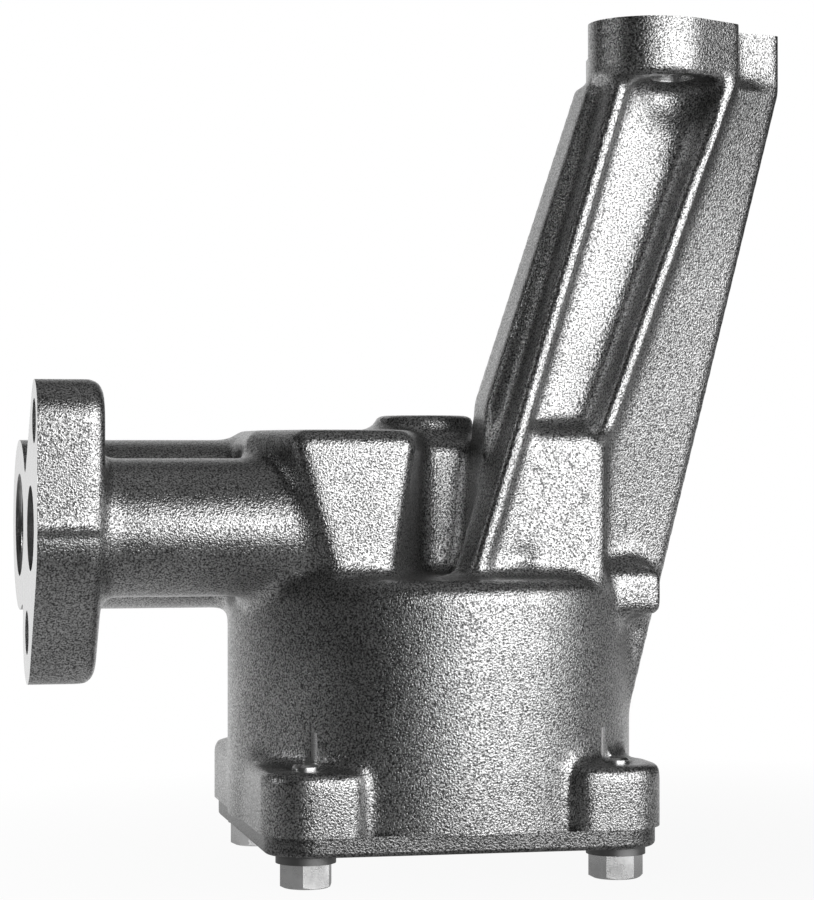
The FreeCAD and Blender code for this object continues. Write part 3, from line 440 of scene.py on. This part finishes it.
def casting():
    """The iron casting, with soft cast corners and crisp machined faces and bores."""
    plugs = []
    cuts = []
    for start, end, radius, plug_end in BORES:
        if plug_end:
            plugs.append(rod_mesh(at(*start), at(*plug_end), radius + PLUG_EXTRA))
        if radius == RELIEF_RADIUS:
            cuts.append(
                grooved_rod_mesh(at(*start), at(*end), radius, GROOVE_DEPTH, GROOVE_PITCH)
            )
        else:
            cuts.append(rod_mesh(at(*start), at(*end), radius))
    joint, flange = JOINT_FACE * MM, FLANGE_FACE * MM
    cuts += [
        box_mesh((-FAR, -FAR, MOUNT_FACE * MM), (FAR, FAR, MOUNT_FACE * MM + THICK)),
        box_mesh((-FAR, -FAR, joint - THICK), (FAR, FAR, joint)),
        box_mesh((flange - THICK, -FAR, -FAR), (flange, FAR, FAR)),
    ]
    mesh = pushed_out(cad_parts["pump_housing"])
    piece = mesh_object("casting", join_meshes("casting", [mesh] + plugs))
    voxels = piece.modifiers.new("voxels", "REMESH")
    voxels.mode = "VOXEL"
    voxels.voxel_size = VOXEL * MM
    apply_modifiers(piece)
    smooth(piece, FIRST_SMOOTHING)
    fill_hollows(piece.data)
    smooth(piece, LAST_SMOOTHING)
    soften_spot(piece.data)
    cast_marks(piece.data)
    for cutter in cuts:
        cut_away(piece, cutter)
    piece.data.materials.clear()
    piece.data.materials.append(IRON)
    piece.data.materials.append(MACHINED)
    mark_machined(piece.data)
    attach(piece, "housing")
    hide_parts("pump_housing")


def mark_machined(mesh):
    """Give machined faces and bores their own finish; every face is shaded smooth."""
    spots = read_rows(mesh.polygons, "center") / MM
    normals = read_rows(mesh.polygons, "normal")
    cut = (abs(spots[:, 2] - MOUNT_FACE) < FACE_SLACK) & (normals[:, 2] > 0.9)
    cut |= (abs(spots[:, 2] - JOINT_FACE) < FACE_SLACK) & (normals[:, 2] < -0.9)
    cut |= (abs(spots[:, 0] - FLANGE_FACE) < FACE_SLACK) & (normals[:, 0] < -0.9)
    for start, end, radius, plug_end in BORES:
        foot = numpy.array(Vector(start) + SHIFT)
        axis = numpy.array((Vector(end) - Vector(start)).normalized())
        away = spots - foot
        out = away - (away @ axis)[:, None] * axis
        reach = numpy.linalg.norm(out, axis=1)
        near = (reach > radius - WALL_SLACK) & (reach < radius + GROOVE_DEPTH + FACE_SLACK)
        inward = (normals * out).sum(axis=1) < -0.5 * reach
        depth = (Vector(plug_end or end) - Vector(start)).length  # run-outs stay as cast
        along = (away @ axis > 0) & (away @ axis < depth)
        cut |= near & inward & along
    mesh.polygons.foreach_set("material_index", cut.astype(numpy.int32))
    mesh.shade_smooth()
    mesh.set_sharp_from_angle(angle=math.radians(SHARP_DEGREES))


# Other pieces

SPRING_START, SPRING_END = -76.7, -37.1
SPRING_RADIUS = 6.0
WIRE_RADIUS = 1.0
WIRE_SIDES = 14
SPRING_TURNS = 8
STEPS_PER_TURN = 40
CLOSED_PITCH = 2.08 * WIRE_RADIUS  # of the first and the last turn


def relief_spring():
    """A coil spring with its end coils closed, made at one length; the real one is pressed
    together as the plunger backs off.
    """
    open_turns = SPRING_TURNS - 2
    first = SPRING_START + WIRE_RADIUS
    last = SPRING_END - WIRE_RADIUS
    pitch = (last - first - 2 * CLOSED_PITCH) / open_turns
    bm = bmesh.new()
    rings = []
    for step in range(SPRING_TURNS * STEPS_PER_TURN + 1):
        turn = step / STEPS_PER_TURN
        angle = 2 * math.pi * turn
        x = (
            first + CLOSED_PITCH * min(turn, 1) + pitch * min(max(turn - 1, 0), open_turns)
            + CLOSED_PITCH * max(turn - 1 - open_turns, 0)
        )
        out = Vector((0, math.cos(angle), math.sin(angle)))
        ring = []
        for a in circle(WIRE_SIDES):
            centre = Vector((x + WIRE_RADIUS * math.sin(a), *RELIEF))
            place = centre + out * (SPRING_RADIUS + WIRE_RADIUS * math.cos(a))
            ring.append(bm.verts.new(at(*place)))
        rings.append(ring)
    add_tube(bm, rings)
    bmesh.ops.recalc_face_normals(bm, faces=bm.faces)
    mesh = finished_mesh("valve_spring", bm)
    mesh.shade_smooth()
    mesh.materials.append(WIRE)
    piece = mesh_object("valve_spring", mesh)
    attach(piece, "housing")
    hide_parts("relief_spring")
    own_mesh(piece)


def dress(node, material):
    """Give a CAD node its material."""
    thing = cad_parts[node]
    thing.data.materials.clear()
    thing.data.materials.append(material)


casting()
dress("cover_plate", PLATE)
for number in range(1, 5):
    dress(f"cover_bolt_{number}", ZINC)
    dress(f"lock_washer_{number}", DARK_STEEL)
for node in ("outer_rotor", "inner_rotor"):
    dress(node, SINTERED)
for node in ("rotor_shaft", "rotor_pin", "relief_plunger", "relief_plug"):
    dress(node, STEEL)
relief_spring()


# Floor, light and camera

FLOOR_HALF = 0.5
FLOOR_GAP = 0.0002  # keeps the floor clear of the bolt heads
FLOOR_TONE = 0.20
FLOOR_BEHIND = (-0.12, 0.20)  # as mirrored in the metal, the floor turns white between these Y
SCREEN = (0.74, 0.97)  # and the room, between these Y of the direction
ROOM_LEVEL = 0.03  # the light from all round, apart from the lamps


def math_node(nodes, links, operation, first, second):
    node = nodes.new("ShaderNodeMath")
    node.operation = operation
    links.new(first, node.inputs[0])
    links.new(second, node.inputs[1])
    return node.outputs[0]


def map_range(nodes, links, value, start, end, low=0.0, high=1.0):
    node = nodes.new("ShaderNodeMapRange")
    for name, level in zip(("From Min", "From Max", "To Min", "To Max"), (start, end, low, high)):
        node.inputs[name].default_value = level
    links.new(value, node.inputs["Value"])
    return node.outputs["Result"]


def white_share(nodes, links, vector, y_range):
    """1 for camera rays, and for mirrored and clear ones where the vector's Y is behind."""
    path = nodes.new("ShaderNodeLightPath").outputs
    split = nodes.new("ShaderNodeSeparateXYZ")
    links.new(vector, split.inputs[0])
    behind = map_range(nodes, links, split.outputs["Y"], *y_range)
    mirrored = math_node(
        nodes, links, "MAXIMUM", path["Is Glossy Ray"], path["Is Transmission Ray"]
    )
    mirrored = math_node(nodes, links, "MULTIPLY", mirrored, behind)
    return math_node(nodes, links, "MAXIMUM", path["Is Camera Ray"], mirrored)


def white_floor():
    """A pale floor that keeps a soft shadow near the object and is plain white further out."""
    bm = bmesh.new()
    bmesh.ops.create_grid(bm, x_segments=1, y_segments=1, size=FLOOR_HALF)
    floor = mesh_object("floor", finished_mesh("floor", bm))
    floor.location.z = cad_box[0][2] - FLOOR_GAP
    material, nodes, links, shader = new_material("pale_floor")
    shader.inputs["Base Color"].default_value = (FLOOR_TONE, FLOOR_TONE, FLOOR_TONE, 1)
    shader.inputs["Roughness"].default_value = 0.9
    glow = nodes.new("ShaderNodeEmission")
    where = nodes.new("ShaderNodeNewGeometry").outputs["Position"]
    reach = nodes.new("ShaderNodeVectorMath")
    reach.operation = "LENGTH"
    links.new(where, reach.inputs[0])
    plain = ramp(nodes, links, reach.outputs["Value"], (0.14, 0.90), (0.30, 1.0))
    shown = white_share(nodes, links, where, FLOOR_BEHIND)
    blend = nodes.new("ShaderNodeMixShader")
    links.new(math_node(nodes, links, "MULTIPLY", shown, plain), blend.inputs["Fac"])
    links.new(shader.outputs[0], blend.inputs[1])
    links.new(glow.outputs[0], blend.inputs[2])
    links.new(blend.outputs[0], nodes["Material Output"].inputs["Surface"])
    floor.data.materials.append(material)


def surroundings():
    """White to the camera, and to metal that mirrors the screen behind the object."""
    world = bpy.data.worlds.new("studio")
    bpy.context.scene.world = world
    world.use_nodes = True
    nodes, links = world.node_tree.nodes, world.node_tree.links
    direction = nodes.new("ShaderNodeTexCoord").outputs["Generated"]
    white = white_share(nodes, links, direction, SCREEN)
    level = map_range(nodes, links, white, 0.0, 1.0, ROOM_LEVEL, 1.0)
    links.new(level, nodes["Background"].inputs["Strength"])
    nodes["Background"].inputs["Color"].default_value = (1, 1, 1, 1)


def lamp(name, place, target, size, watts):
    data = bpy.data.lights.new(name, "AREA")
    data.shape = "RECTANGLE"
    data.size, data.size_y = size
    data.energy = watts
    light = bpy.data.objects.new(name, data)
    bpy.context.scene.collection.objects.link(light)
    light.location = place
    aim = Vector(target) - Vector(place)
    light.rotation_euler = aim.to_track_quat("-Z", "Y").to_euler()


white_floor()
surroundings()
MIDDLE = (-0.05, 0.0, -0.09)
lamp("key", (0.47, -0.86, 0.05), MIDDLE, (1.40, 0.70), 12.0)
lamp("top", (0.0, 0.0, 0.85), MIDDLE, (1.0, 1.0), 0.5)
lamp("left_strip", (-0.95, 0.05, 0.12), (0.0, 0.0, -0.01), (0.10, 0.22), 0.5)

TURN = math.radians(12.0)  # the camera looks this far round from +Y, and level
IMAGE_HEIGHT = 900
camera = bpy.data.objects.new("camera", bpy.data.cameras.new("camera"))
bpy.context.scene.collection.objects.link(camera)
camera.location = (-0.2045, -0.6719, -0.1007)
look = Vector((math.sin(TURN), math.cos(TURN), 0))
camera.rotation_euler = look.to_track_quat("-Z", "Y").to_euler()
camera.data.sensor_fit = "VERTICAL"
camera.data.sensor_height = 24.0
camera.data.lens = 76.0
camera.data.shift_y = 3 / IMAGE_HEIGHT
bpy.context.scene.camera = camera
bpy.context.scene.view_settings.view_transform = "Standard"
